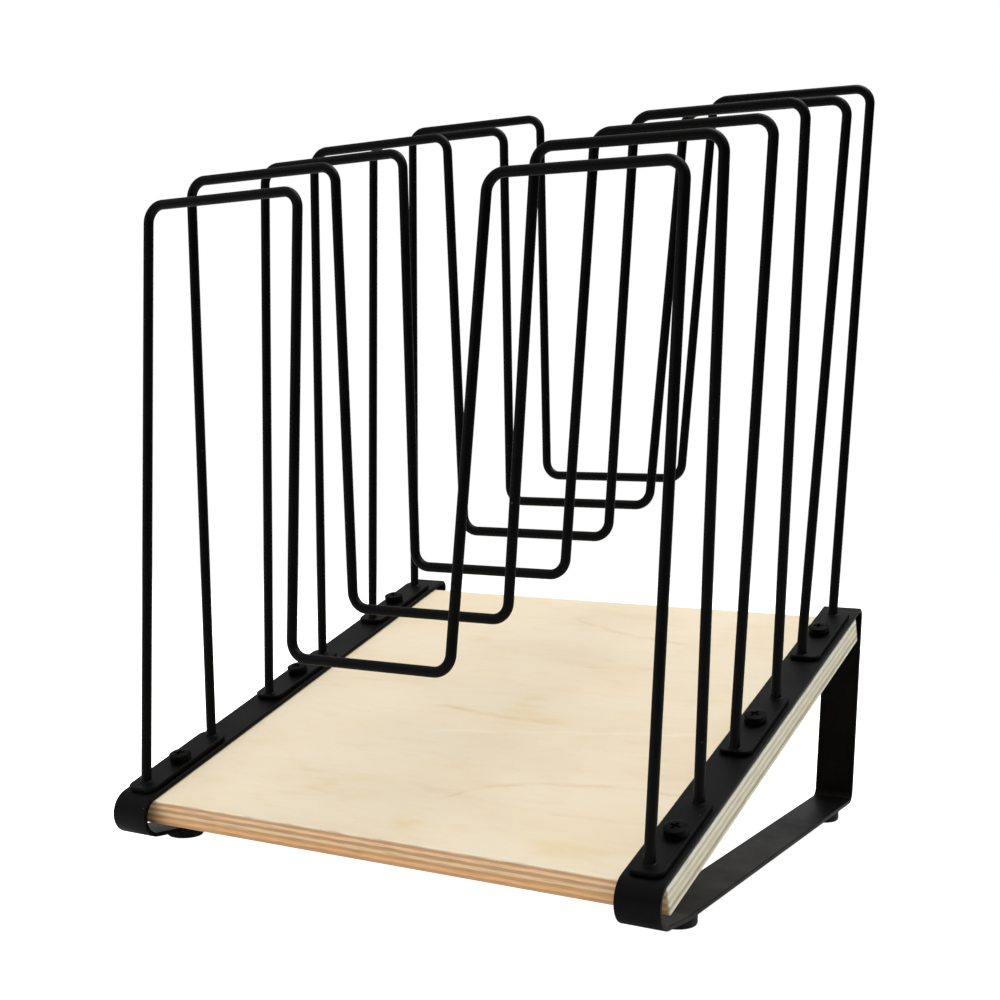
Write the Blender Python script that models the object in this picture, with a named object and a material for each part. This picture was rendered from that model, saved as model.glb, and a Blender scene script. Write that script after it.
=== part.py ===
"""Desktop file organizer: bent wires on two steel straps, which carry a sloping plywood board.

Metres, +Z up. The front is at -Y and the board climbs towards +Y. The origin lies on the desk,
under the middle of the organizer's box.
"""

import math

import bmesh
import bpy
from mathutils import Euler, Matrix, Vector

# Clearance between pieces that rest on each other, and round the screws
SEAT_GAP = 0.0003

# Plywood board
BOARD_WIDTH = 0.269
BOARD_LENGTH = 0.250
BOARD_THICKNESS = 0.012
BOARD_SLOPE = math.radians(17.4)
BOARD_ARRIS = 0.0006

# Flat steel straps: each is one closed loop, flush with a side of the board
STRAP_WIDTH = 0.019
STRAP_THICKNESS = 0.002
FRONT_BEND_RADIUS = 0.008
FRONT_BEND_SETBACK = 0.0014
RUN_DROP_ANGLE = math.radians(5)
RUN_DROP_LENGTH = 0.020
RUN_DROP_RADIUS = 0.060
TOP_BEND_RADIUS = 0.002
HEEL_BEND_RADIUS = 0.004
LEG_LEAN = math.radians(7)
LEG_TO_BOARD = 0.0045

# Foot plates under the wires, three along each strap
PLATE_LENGTH = 0.056
PLATE_WIDTH = 0.015
PLATE_THICKNESS = 0.002
PLATE_CORNER_RADIUS = 0.004
PLATE_SETBACK = 0.029
PLATE_ROWS = ("front", "middle", "rear")

# Wires, two to a pair of plates
WIRE_DIAMETER = 0.0046
WIRE_HEIGHT = 0.266
WIRE_BEND_RADIUS = 0.008
WIRE_SPLAY = 0.0095
ARCH_RISE = 0.0012
VALLEY_TOP_WIDTH = 0.102
VALLEY_FLOOR_WIDTH = 0.080

# The wires are bent and welded by hand. Front to back, each one differs from the rest in:
# its distance from the plate's end, how many degrees it tips back from upright, how far its
# upper part sits to the right, how far its right shoulder is turned back, how much narrower its
# valley is at the top, the height of its valley floor, and how far its feet sit to the right
WIRE_INSETS = (0.0070, 0.0030, 0.0035, 0.0035, 0.0030, 0.0045)
WIRE_LEANS = (3.9, 0.1, 1.0, -0.2, 3.2, 2.8)
WIRE_SHIFTS = (-0.0065, -0.0020, 0.0020, 0.0020, 0.0015, -0.0005)
WIRE_TWISTS = (-0.0005, 0.0015, -0.0010, -0.0010, 0.0030, 0.0040)
VALLEY_SQUEEZES = (0.0060, 0.0, -0.0005, -0.0015, -0.0015, -0.0005)
VALLEY_FLOOR_HEIGHTS = (0.0625, 0.0665, 0.0685, 0.0685, 0.0680, 0.0660)
LEFT_FOOT_SHIFTS = (-0.0010, 0.0, 0.0, -0.0010, 0.0010, -0.0010)
RIGHT_FOOT_SHIFTS = (-0.0005, 0.0015, -0.0005, 0.0015, -0.0015, -0.0005)

# Pan-head wood screws with a cross recess. Each row sits a little off the middle of its plates
SCREW_SHIFTS = (0.0018, 0.0004, -0.0004)
SCREW_HEAD_DIAMETER = 0.010
SCREW_HEAD_HEIGHT = 0.0036
SCREW_RIM_HEIGHT = 0.0030
SCREW_DIAMETER = 0.0048
SCREW_LENGTH = 0.012
SCREW_POINT = 0.004
RECESS_SPAN = 0.0052
RECESS_SLOT = 0.0011
RECESS_DEPTH = 0.0019

# Rubber feet under the bottom runs
FOOT_DIAMETER = 0.017
FOOT_HEIGHT = 0.0048
FOOT_ROUND = 0.0012
FRONT_FOOT_SETBACK = 0.028
REAR_FOOT_SETBACK = 0.020

# How finely the round shapes are cut
WIRE_SIDES = 12
BEND_STEP = math.radians(15)
ROUND_STEPS = 20

# Heights above the board's top face
STRAP_TOP = SEAT_GAP + STRAP_THICKNESS
PLATE_BOTTOM = STRAP_TOP + SEAT_GAP
PLATE_TOP = PLATE_BOTTOM + PLATE_THICKNESS
WIRE_SEAT = PLATE_TOP + SEAT_GAP

# Places along and across the board
STRAP_CENTRE = (BOARD_WIDTH - STRAP_WIDTH) / 2
PLATE_PITCH = (BOARD_LENGTH - 2 * PLATE_SETBACK) / (len(PLATE_ROWS) - 1)
PLATE_CENTRES = [PLATE_SETBACK + row * PLATE_PITCH for row in range(len(PLATE_ROWS))]
SIDES = {"left": -1, "right": 1}
SHOULDER = STRAP_CENTRE + WIRE_SPLAY
UPHILL = Vector((math.cos(BOARD_SLOPE), math.sin(BOARD_SLOPE)))
BOARD_NORMAL = Vector((-UPHILL.y, UPHILL.x))

# Height of the bottom runs' upper face above the desk
RUN_TOP = FOOT_HEIGHT + SEAT_GAP + STRAP_THICKNESS


def clear_scene():
    for obj in list(bpy.data.objects):
        bpy.data.objects.remove(obj)


def make_material(name, colour, roughness, metallic=0.0):
    material = bpy.data.materials.new(name)
    material.use_nodes = True
    shader = material.node_tree.nodes["Principled BSDF"]
    shader.inputs["Base Color"].default_value = (*colour, 1)
    shader.inputs["Roughness"].default_value = roughness
    shader.inputs["Metallic"].default_value = metallic
    return material


def make_object(name, mesh, material, parent):
    obj = bpy.data.objects.new(name, mesh)
    obj.parent = parent
    if not mesh.materials:
        mesh.materials.append(material)
    bpy.context.collection.objects.link(obj)
    return obj


def make_empty(name, parent=None):
    empty = bpy.data.objects.new(name, None)
    empty.parent = parent
    bpy.context.collection.objects.link(empty)
    return empty


def mesh_from(bm, name, smooth=False):
    bmesh.ops.recalc_face_normals(bm, faces=bm.faces)
    mesh = bpy.data.meshes.new(name)
    bm.to_mesh(mesh)
    bm.free()
    if smooth:
        mesh.shade_smooth()
        mesh.set_sharp_from_angle(angle=math.radians(40))
    return mesh


def make_cutter(name, mesh, parent):
    cutter = bpy.data.objects.new(name, mesh)
    cutter.parent = parent
    cutter.hide_render = True
    cutter.display_type = "WIRE"
    bpy.context.collection.objects.link(cutter)
    return cutter


def cut(obj, cutter):
    boolean = obj.modifiers.new("screw holes", "BOOLEAN")
    boolean.operation = "DIFFERENCE"
    boolean.solver = "EXACT"
    boolean.object = cutter


def add_box(bm, size, centre):
    made = bmesh.ops.create_cube(bm, size=1)
    bmesh.ops.scale(bm, vec=size, verts=made["verts"])
    bmesh.ops.translate(bm, vec=centre, verts=made["verts"])
    return made["verts"]


def spin_profile(points, name):
    """A turned solid: the profile's points are (radius, height), from the axis and back to it."""
    bm = bmesh.new()
    verts = [bm.verts.new((radius, 0, height)) for radius, height in points]
    edges = [bm.edges.new(pair) for pair in zip(verts, verts[1:])]
    bmesh.ops.spin(
        bm,
        geom=verts + edges,
        cent=(0, 0, 0),
        axis=(0, 0, 1),
        angle=math.tau,
        steps=ROUND_STEPS,
        use_merge=True,
    )
    bmesh.ops.remove_doubles(bm, verts=bm.verts, dist=1e-6)
    return mesh_from(bm, name, smooth=True)


def arc_points(centre, radius, start, end, steps):
    """Points of (across, up) on an arc, from one angle to another."""
    angles = [start + (end - start) * step / steps for step in range(steps + 1)]
    return [(centre[0] + radius * math.cos(a), centre[1] + radius * math.sin(a)) for a in angles]


def rounded_loop(corners, radii):
    """The points of a closed outline, with each corner rounded by an arc of its own radius."""
    points = []
    for index, (corner, radius) in enumerate(zip(corners, radii)):
        to_last = (corners[index - 1] - corner).normalized()
        to_next = (corners[(index + 1) % len(corners)] - corner).normalized()
        half_angle = to_last.angle(to_next) / 2
        centre = corner + (to_last + to_next).normalized() * radius / math.sin(half_angle)
        first = corner + to_last * radius / math.tan(half_angle) - centre
        turn = to_last.angle_signed(-to_next)
        steps = math.ceil(abs(turn) / BEND_STEP)
        for step in range(steps + 1):
            points.append(centre + Matrix.Rotation(-turn * step / steps, 2) @ first)
    return points


def front_bend_centre():
    """The middle of a strap's front bend, as (along, up) from the board's front top edge."""
    return UPHILL * FRONT_BEND_SETBACK + BOARD_NORMAL * (SEAT_GAP - FRONT_BEND_RADIUS)


def meeting_point(place, heading, other_place, other_heading):
    """Where two straight lines in the strap's plane cross."""
    return place + heading * (other_place - place).cross(other_heading) / heading.cross(other_heading)


def strap_corners():
    """The sharp corners of a strap's inner face, as (along, up) from the board's front top edge."""
    on_board = BOARD_NORMAL * SEAT_GAP
    drop = Vector((math.cos(RUN_DROP_ANGLE), -math.sin(RUN_DROP_ANGLE)))
    below = Vector((drop.y, -drop.x))
    knee = front_bend_centre() + below * FRONT_BEND_RADIUS + drop * RUN_DROP_LENGTH
    beside_board = UPHILL * BOARD_LENGTH - BOARD_NORMAL * BOARD_THICKNESS + Vector((LEG_TO_BOARD, 0))
    leg = Vector((math.sin(LEG_LEAN), math.cos(LEG_LEAN)))
    toe = meeting_point(on_board, UPHILL, knee, drop)
    heel = meeting_point(knee, Vector((1, 0)), beside_board, leg)
    top = meeting_point(on_board, UPHILL, beside_board, leg)
    return [toe, knee, heel, top]


def strap_mesh(name, side):
    radii = [FRONT_BEND_RADIUS, RUN_DROP_RADIUS, HEEL_BEND_RADIUS, TOP_BEND_RADIUS]
    outline = rounded_loop(strap_corners(), radii)
    bm = bmesh.new()
    edge_x = side * STRAP_CENTRE - STRAP_WIDTH / 2
    verts = [bm.verts.new((edge_x, p.x, p.y)) for p in outline]
    edges = [bm.edges.new((a, b)) for a, b in zip(verts, verts[1:] + verts[:1])]
    band = bmesh.ops.extrude_edge_only(bm, edges=edges)
    moved = [v for v in band["geom"] if isinstance(v, bmesh.types.BMVert)]
    bmesh.ops.translate(bm, vec=(STRAP_WIDTH, 0, 0), verts=moved)
    return mesh_from(bm, name, smooth=True)


def make_strap(name, side, steel, parent, holes):
    strap = make_object(name, strap_mesh(name, side), steel, parent)
    thicken = strap.modifiers.new("strap thickness", "SOLIDIFY")
    thicken.thickness = STRAP_THICKNESS
    thicken.offset = 1
    thicken.use_even_offset = True
    cut(strap, holes)
    return strap


def make_board(wood, slope, holes):
    bm = bmesh.new()
    size = (BOARD_WIDTH, BOARD_LENGTH, BOARD_THICKNESS)
    add_box(bm, size, (0, BOARD_LENGTH / 2, -BOARD_THICKNESS / 2))
    bmesh.ops.bevel(
        bm, geom=bm.edges[:], offset=BOARD_ARRIS, affect="EDGES", segments=1, profile=0.5, material=-1
    )
    board = make_object("base_board", mesh_from(bm, "base_board"), wood, slope)
    cut(board, holes)


def plate_mesh():
    bm = bmesh.new()
    add_box(bm, (PLATE_WIDTH, PLATE_LENGTH, PLATE_THICKNESS), (0, 0, PLATE_THICKNESS / 2))
    upright = [edge for edge in bm.edges if abs(edge.verts[0].co.z - edge.verts[1].co.z) > SEAT_GAP]
    bmesh.ops.bevel(
        bm, geom=upright, offset=PLATE_CORNER_RADIUS, affect="EDGES", segments=4, profile=0.5, material=-1
    )
    return mesh_from(bm, "foot_plate", smooth=True)


def wire_path(index):
    """A wire's ends and sharp corners, in its own plane; both ends have spare length."""
    shift = WIRE_SHIFTS[index]
    half_top = (VALLEY_TOP_WIDTH - VALLEY_SQUEEZES[index]) / 2
    half_floor = VALLEY_FLOOR_WIDTH / 2
    floor_height = VALLEY_FLOOR_HEIGHTS[index]
    shoulder_height = WIRE_HEIGHT - ARCH_RISE
    corners = [
        Vector((shift - SHOULDER, 0, shoulder_height)),
        Vector((shift - half_top, 0, WIRE_HEIGHT)),
        Vector((shift - half_floor, 0, floor_height)),
        Vector((shift + half_floor, 0, floor_height)),
        Vector((shift + half_top, 0, WIRE_HEIGHT)),
        Vector((shift + SHOULDER, 0, shoulder_height)),
    ]
    left_foot = Vector((LEFT_FOOT_SHIFTS[index] - STRAP_CENTRE, 0, 0))
    right_foot = Vector((RIGHT_FOOT_SHIFTS[index] + STRAP_CENTRE, 0, 0))
    left_end = left_foot + (left_foot - corners[0]).normalized() * WIRE_DIAMETER
    right_end = right_foot + (right_foot - corners[-1]).normalized() * WIRE_DIAMETER
    return [left_end, *corners, right_end]


def wire_mesh(name, path, tip, twist):
    """A wire bent as on a bench: straight runs, and a spin round each bend, cut off flat at its feet."""
    start = path[0]
    end = path[-1]
    heading = (path[1] - start).normalized()

    bm = bmesh.new()
    turn_to_heading = heading.to_track_quat("Z", "Y").to_matrix().to_4x4()
    bmesh.ops.create_circle(
        bm, segments=WIRE_SIDES, radius=WIRE_DIAMETER / 2, matrix=Matrix.Translation(start) @ turn_to_heading
    )
    ring = bm.edges[:]
    place = start
    for corner, after in zip(path[1:], path[2:]):
        next_heading = (after - corner).normalized()
        turn = heading.angle(next_heading)
        axis = heading.cross(next_heading).normalized()
        bend_start = corner - heading * WIRE_BEND_RADIUS * math.tan(turn / 2)
        ring = extrude_ring(bm, ring, bend_start - place)
        bent = bmesh.ops.spin(
            bm,
            geom=ring,
            cent=bend_start + axis.cross(heading) * WIRE_BEND_RADIUS,
            axis=axis,
            angle=turn,
            steps=math.ceil(turn / BEND_STEP),
        )
        ring = [part for part in bent["geom_last"] if isinstance(part, bmesh.types.BMEdge)]
        place = corner + next_heading * WIRE_BEND_RADIUS * math.tan(turn / 2)
        heading = next_heading
    extrude_ring(bm, ring, end - place)
    bmesh.ops.remove_doubles(bm, verts=bm.verts, dist=1e-6)
    for vert in bm.verts:
        vert.co.y += twist * (vert.co.x / SHOULDER) * (vert.co.z / WIRE_HEIGHT)
    cut_feet(bm, tip)
    return mesh_from(bm, name, smooth=True)


def extrude_ring(bm, ring, move):
    """Draws a ring of edges out along a straight run, and gives the ring at its far end."""
    drawn = bmesh.ops.extrude_edge_only(bm, edges=ring)["geom"]
    verts = [part for part in drawn if isinstance(part, bmesh.types.BMVert)]
    bmesh.ops.translate(bm, vec=move, verts=verts)
    return [part for part in drawn if isinstance(part, bmesh.types.BMEdge) and part.is_boundary]


def cut_feet(bm, tip):
    """Cuts the spare length off both legs, in the plane of the plates they stand on."""
    geom = bm.verts[:] + bm.edges[:] + bm.faces[:]
    plate_normal = Vector((0, -math.sin(tip), math.cos(tip)))
    bmesh.ops.bisect_plane(bm, geom=geom, plane_co=(0, 0, 0), plane_no=plate_normal, clear_inner=True)
    rims = [edge for edge in bm.edges if edge.is_boundary]
    bmesh.ops.holes_fill(bm, edges=rims, sides=0)


def make_wires(steel, slope):
    for index, inset in enumerate(WIRE_INSETS):
        name = f"wire_{index + 1}"
        to_front = index % 2 == 0
        reach = PLATE_LENGTH / 2 - inset
        place = PLATE_CENTRES[index // 2] + (-reach if to_front else reach)
        tip = BOARD_SLOPE + math.radians(WIRE_LEANS[index])
        mesh = wire_mesh(name, wire_path(index), tip, WIRE_TWISTS[index])
        wire = make_object(name, mesh, steel, slope)
        wire.location = (0, place, WIRE_SEAT)
        wire.rotation_euler.x = -tip


def make_plates(steel, slope, holes):
    mesh = plate_mesh()
    for side_name, side in SIDES.items():
        for row, place in zip(PLATE_ROWS, PLATE_CENTRES):
            plate = make_object(f"{side_name}_plate_{row}", mesh, steel, slope)
            plate.location = (side * STRAP_CENTRE, place, PLATE_BOTTOM)
            cut(plate, holes)


def screw_mesh():
    """One screw, with the underside of its head at height 0 and its cross recess already cut."""
    rim = SCREW_HEAD_DIAMETER / 2
    shank = SCREW_DIAMETER / 2
    crown = SCREW_HEAD_HEIGHT - SCREW_RIM_HEIGHT
    dome = [(rim * math.cos(a), SCREW_RIM_HEIGHT + crown * math.sin(a)) for a in (0, 0.35, 0.75, 1.15)]
    profile = [(0, SCREW_HEAD_HEIGHT), *reversed(dome), (rim, 0), (shank, 0)]
    profile += [(shank, SCREW_POINT - SCREW_LENGTH), (0, -SCREW_LENGTH)]
    blank = bpy.data.objects.new("screw_blank", spin_profile(profile, "screw_blank"))
    bpy.context.collection.objects.link(blank)

    bm = bmesh.new()
    arm = (RECESS_SPAN, RECESS_SLOT, 2 * RECESS_DEPTH)
    for size in (arm, (arm[1], arm[0], arm[2])):
        add_box(bm, size, (0, 0, SCREW_HEAD_HEIGHT))
    recess = make_cutter("screw_recess", mesh_from(bm, "screw_recess"), None)
    cross_cut = blank.modifiers.new("cross recess", "BOOLEAN")
    cross_cut.object = recess
    cross_cut.use_self = True

    bpy.context.view_layer.update()
    finished = blank.evaluated_get(bpy.context.evaluated_depsgraph_get())
    mesh = bpy.data.meshes.new_from_object(finished)
    mesh.name = "screw"
    for helper in (blank, recess):
        bpy.data.objects.remove(helper)
    return mesh


def screw_places():
    """Each screw's name, and where its axis meets the board's top face."""
    places = {}
    for side_name, side in SIDES.items():
        for row, place, shift in zip(PLATE_ROWS, PLATE_CENTRES, SCREW_SHIFTS):
            places[f"{side_name}_screw_{row}"] = Vector((side * STRAP_CENTRE + shift, place, 0))
    return places


def make_screws(steel, slope):
    mesh = screw_mesh()
    for name, place in screw_places().items():
        screw = make_object(name, mesh, steel, slope)
        screw.location = place + Vector((0, 0, WIRE_SEAT))
        screw.rotation_euler.z = math.radians(45)


def make_hole_cutter(slope):
    """One pin for each screw hole: through the plate and the strap, and into the board."""
    bottom = WIRE_SEAT - SCREW_LENGTH - SEAT_GAP
    top = WIRE_SEAT + PLATE_THICKNESS
    bm = bmesh.new()
    for place in screw_places().values():
        middle = place + Vector((0, 0, (top + bottom) / 2))
        bmesh.ops.create_cone(
            bm,
            cap_ends=True,
            segments=ROUND_STEPS,
            radius1=SCREW_DIAMETER / 2 + SEAT_GAP,
            radius2=SCREW_DIAMETER / 2 + SEAT_GAP,
            depth=top - bottom,
            matrix=Matrix.Translation(middle),
        )
    return make_cutter("screw_holes", mesh_from(bm, "screw_holes"), slope)


def foot_mesh():
    radius = FOOT_DIAMETER / 2
    sole = arc_points((radius - FOOT_ROUND, FOOT_ROUND), FOOT_ROUND, 0, -math.pi / 2, 3)
    return spin_profile([(0, FOOT_HEIGHT), (radius, FOOT_HEIGHT), *sole, (0, 0)], "rubber_foot")


def make_feet(rubber, root):
    mesh = foot_mesh()
    heel = strap_corners()[2]
    rows = {"front": front_bend_centre().x + FRONT_FOOT_SETBACK, "rear": heel.x - REAR_FOOT_SETBACK}
    for side_name, side in SIDES.items():
        for row, place in rows.items():
            foot = make_object(f"{side_name}_foot_{row}", mesh, rubber, root)
            foot.location = (side * STRAP_CENTRE, place, 0)


def centre_on_origin(root):
    """Moves the organizer along X and Y so that the origin lies under the middle of its box."""
    bpy.context.view_layer.update()
    graph = bpy.context.evaluated_depsgraph_get()
    places = []
    for obj in bpy.data.objects:
        if obj.type == "MESH" and not obj.hide_render:
            mesh = obj.evaluated_get(graph).to_mesh()
            places += [obj.matrix_world @ vert.co for vert in mesh.vertices]
    for axis in (0, 1):
        reach = [place[axis] for place in places]
        root.location[axis] = -(min(reach) + max(reach)) / 2


def main():
    clear_scene()
    steel = make_material("black_powder_coat", (0.012, 0.012, 0.013), 0.48)
    screw_steel = make_material("black_oxide", (0.014, 0.014, 0.015), 0.42, 0.6)
    wood = make_material("birch_plywood", (0.78, 0.66, 0.46), 0.6)
    rubber = make_material("black_rubber", (0.010, 0.010, 0.010), 0.85)

    root = make_empty("organizer")
    frame = make_empty("strap_frame", root)
    frame.location.z = RUN_TOP - strap_corners()[1].y
    slope = make_empty("board_slope", frame)
    slope.rotation_euler = Euler((BOARD_SLOPE, 0, 0))

    holes = make_hole_cutter(slope)
    make_board(wood, slope, holes)
    for side_name, side in SIDES.items():
        make_strap(f"{side_name}_strap", side, steel, frame, holes)
    make_plates(steel, slope, holes)
    make_wires(steel, slope)
    make_screws(screw_steel, slope)
    make_feet(rubber, root)
    centre_on_origin(root)


main()
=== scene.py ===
# %% [markdown]
# # A desktop file organizer
# Six bent wires stand on two black steel straps, and the straps carry a sloping plywood board.
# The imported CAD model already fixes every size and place. This lesson loads it as a frame, and
# builds a finer piece over each of its solids: round wire with welds, bars with softened edges,
# screws with a real recess, and plywood whose plies show on its edges.

# %% Load the frame
import math

import bmesh
import bpy
from mathutils import Matrix, Vector, noise
from mathutils.geometry import intersect_line_line


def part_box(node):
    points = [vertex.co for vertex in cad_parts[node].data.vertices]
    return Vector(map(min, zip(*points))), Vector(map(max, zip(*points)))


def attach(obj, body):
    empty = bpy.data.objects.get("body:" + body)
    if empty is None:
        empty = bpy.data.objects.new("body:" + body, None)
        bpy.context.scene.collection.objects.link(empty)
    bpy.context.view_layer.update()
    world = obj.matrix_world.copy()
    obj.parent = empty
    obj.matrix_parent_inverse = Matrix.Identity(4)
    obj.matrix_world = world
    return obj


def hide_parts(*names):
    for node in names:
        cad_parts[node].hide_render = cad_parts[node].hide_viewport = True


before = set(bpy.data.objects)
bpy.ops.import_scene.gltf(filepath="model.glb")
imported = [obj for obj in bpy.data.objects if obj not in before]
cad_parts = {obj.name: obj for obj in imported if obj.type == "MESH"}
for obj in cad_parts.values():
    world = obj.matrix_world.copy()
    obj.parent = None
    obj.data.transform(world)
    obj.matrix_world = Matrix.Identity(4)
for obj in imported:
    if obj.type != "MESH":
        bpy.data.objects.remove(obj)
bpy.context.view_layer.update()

print("CAD nodes:", len(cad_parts))

# %% [markdown]
# ## The camera
# The picture is taken from the front right, a little above the board, through a normal lens.
# A camera can be set by eye in the viewport. Here its place and turn were worked out from the
# straight edges of the board and the wires, so that the render lies over the picture.

# %% Camera
CAMERA_PLACE = (0.35032, -0.62787, 0.19166)
CAMERA_TURN = (1.52499, -0.00865, 0.51508)
FOCAL_LENGTH = 53.9
SENSOR_WIDTH = 36.0

lens = bpy.data.cameras.new("studio_camera")
lens.lens = FOCAL_LENGTH
lens.sensor_width = SENSOR_WIDTH
camera = bpy.data.objects.new("studio_camera", lens)
camera.location = CAMERA_PLACE
camera.rotation_euler = CAMERA_TURN
bpy.context.scene.collection.objects.link(camera)
bpy.context.scene.camera = camera
print("Camera distance in mm:", round(camera.location.length * 1000))

# %% [markdown]
# ## Shader maths as plain Python
# A material is a tree of nodes, and trees get long when every sum is a node of its own. One class
# holds a number, place or colour that varies over the surface, and its operators add the Math
# nodes. A second class adds every other node by its type, its settings and its sockets.


# %% A number that varies over a surface
class Number:
    """A number, place or colour that varies over a surface. Sums and products add Math nodes."""

    def __init__(self, nodes, socket):
        self.nodes = nodes
        self.socket = socket

    def maths(self, operation, first, second=0.0):
        return self.nodes.add("Math", {"operation": operation}, {0: first, 1: second})

    def __add__(self, other):
        return self.maths("ADD", self, other)

    __radd__ = __add__

    def __sub__(self, other):
        return self.maths("SUBTRACT", self, other)

    def __rsub__(self, other):
        return self.maths("SUBTRACT", other, self)

    def __mul__(self, other):
        return self.maths("MULTIPLY", self, other)

    __rmul__ = __mul__

    def __truediv__(self, other):
        return self.maths("DIVIDE", self, other)

    def __pow__(self, other):
        return self.maths("POWER", self, other)

    def __gt__(self, other):
        return self.maths("GREATER_THAN", self, other)

    def __abs__(self):
        return self.maths("ABSOLUTE", self)


print("Operators that add a Math node: + - * / ** > abs")


# %% A tree of nodes
class Nodes:
    """A node tree to which nodes are added by type, settings and sockets."""

    def __init__(self, tree):
        self.tree = tree

    def plug(self, socket, value):
        if isinstance(value, Number):
            self.tree.links.new(value.socket, socket)
        else:
            socket.default_value = value

    def add(self, kind, settings=None, sockets=None, output=0):
        node = self.tree.nodes.new("ShaderNode" + kind)
        for name, value in (settings or {}).items():
            setattr(node, name, value)
        for name, value in (sockets or {}).items():
            self.plug(node.inputs[name], value)
        return Number(self, node.outputs[output])

    def larger(self, first, second):
        return self.add("Math", {"operation": "MAXIMUM"}, {0: first, 1: second})

    def part(self, place, axis):
        return self.add("SeparateXYZ", None, {0: place}, output=axis)

    def length(self, place):
        return self.add("VectorMath", {"operation": "LENGTH"}, {0: place}, output="Value")

    def noise(self, place, scale, detail):
        """Noise from 0 to 1. Its scale is one number, or one for each axis."""
        if isinstance(scale, tuple):
            place = self.add("VectorMath", {"operation": "MULTIPLY"}, {0: place, 1: scale})
            scale = 1
        return self.add("TexNoise", None, {"Vector": place, "Scale": scale, "Detail": detail})

    def rise(self, value, low, high):
        """A soft step from 0 to 1 as a value goes from low to high."""
        sockets = {"Value": value, "From Min": low, "From Max": high}
        return self.add("MapRange", {"interpolation_type": "SMOOTHSTEP"}, sockets)

    def mix(self, mask, first, second):
        """Colours: the first where the mask is 0, the second where it is 1."""
        return self.add("Mix", {"data_type": "RGBA"}, {0: mask, 6: first, 7: second}, output=2)

    def bands(self, value, starts, colours, softness):
        """A colour for each band between the starts, with soft borders between the bands."""
        result = self.add("ValToRGB", None, {0: value})
        stops = result.socket.node.color_ramp.elements
        stops[0].color = colours[0]
        stops[1].position = 1.0
        stops[1].color = colours[-1]
        for start, before, after in zip(starts[1:], colours, colours[1:]):
            stops.new(start - softness).color = before
            stops.new(start + softness).color = after
        return result

    def bump(self, height, distance, strength):
        return self.add("Bump", None, {"Height": height, "Distance": distance, "Strength": strength})


print("Nodes that have a call of their own: noise, soft step, mix, bands, bump")


# %% Colours and new finishes
def screen_colour(red, green, blue):
    """A colour as a screen shows it, 0 to 255, turned by the sRGB rule into light for a shader."""
    parts = [part / 255 for part in (red, green, blue)]
    linear = [part / 12.92 if part <= 0.04045 else ((part + 0.055) / 1.055) ** 2.4 for part in parts]
    return (*linear, 1.0)


def start_finish(name):
    """A new material: its nodes, its shader, and the place on the surface in metres."""
    material = bpy.data.materials.new(name)
    material.use_nodes = True
    nodes = Nodes(material.node_tree)
    shader = material.node_tree.nodes["Principled BSDF"]
    place = nodes.add("TexCoord", output="Object")
    return material, nodes, shader, place


print("Half bright on a screen is", round(screen_colour(128, 128, 128)[0], 3), "of full light")

# %% [markdown]
# ## The studio
# The organizer stands on white paper. A wide soft light hangs over it and a little behind, so that
# its shadows fall forwards, and a weaker one fills in the front. Black steel shows whatever is
# around it, and a white room would wash it out. So the room is bright overhead, pale behind the
# organizer and dim elsewhere, and only the empty backdrop is shown as white. The paper is burnt
# out to white in the picture without lighting the steel from below, and it fades out at its rim,
# so that no horizon cuts the wires.

# %% Floor
PAPER_WHITE = (1.0, 1.0, 1.0, 1.0)
FLOOR_GREY = (0.85, 0.85, 0.85, 1.0)
FLOOR_GLOW = (0.10, 0.10, 0.10, 1.0)
FLOOR_BURN = 1.0
FLOOR_ROUGHNESS = 0.9
FLOOR_SHEEN = 0.1
FLOOR_REACH = 1.6
FLOOR_SIDES = 64
FLOOR_FADE_START = 0.7
FLOOR_FADE_END = 1.5


def white_paper():
    material, nodes, shader, place = start_finish("white_paper")
    shader.inputs["Base Color"].default_value = FLOOR_GREY
    shader.inputs["Roughness"].default_value = FLOOR_ROUGHNESS
    shader.inputs["Specular IOR Level"].default_value = FLOOR_SHEEN
    seen_directly = nodes.add("LightPath", output="Is Camera Ray")
    nodes.plug(shader.inputs["Emission Color"], nodes.mix(seen_directly, FLOOR_GLOW, PAPER_WHITE))
    shader.inputs["Emission Strength"].default_value = FLOOR_BURN
    fade = nodes.rise(nodes.length(place), FLOOR_FADE_START, FLOOR_FADE_END)
    nodes.plug(shader.inputs["Alpha"], 1 - fade)
    return material


def make_floor():
    bm = bmesh.new()
    bmesh.ops.create_circle(bm, cap_ends=True, segments=FLOOR_SIDES, radius=FLOOR_REACH)
    mesh = bpy.data.meshes.new("studio_floor")
    bm.to_mesh(mesh)
    bm.free()
    mesh.materials.append(white_paper())
    floor = bpy.data.objects.new("studio_floor", mesh)
    bpy.context.scene.collection.objects.link(floor)


make_floor()
print("Floor reaches out, in m:", FLOOR_REACH)

# %% Backdrop
ROOM_DIM = 0.01
ROOM_OVERHEAD = 1.35
OVERHEAD_FALL = 3
ROOM_BEHIND = 0.75
BEHIND = (-0.49, 0.87, 0.0)
WALL_SPREAD = (0.2, 1.0)
WALL_TOP = (0.3, 0.8)


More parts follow.
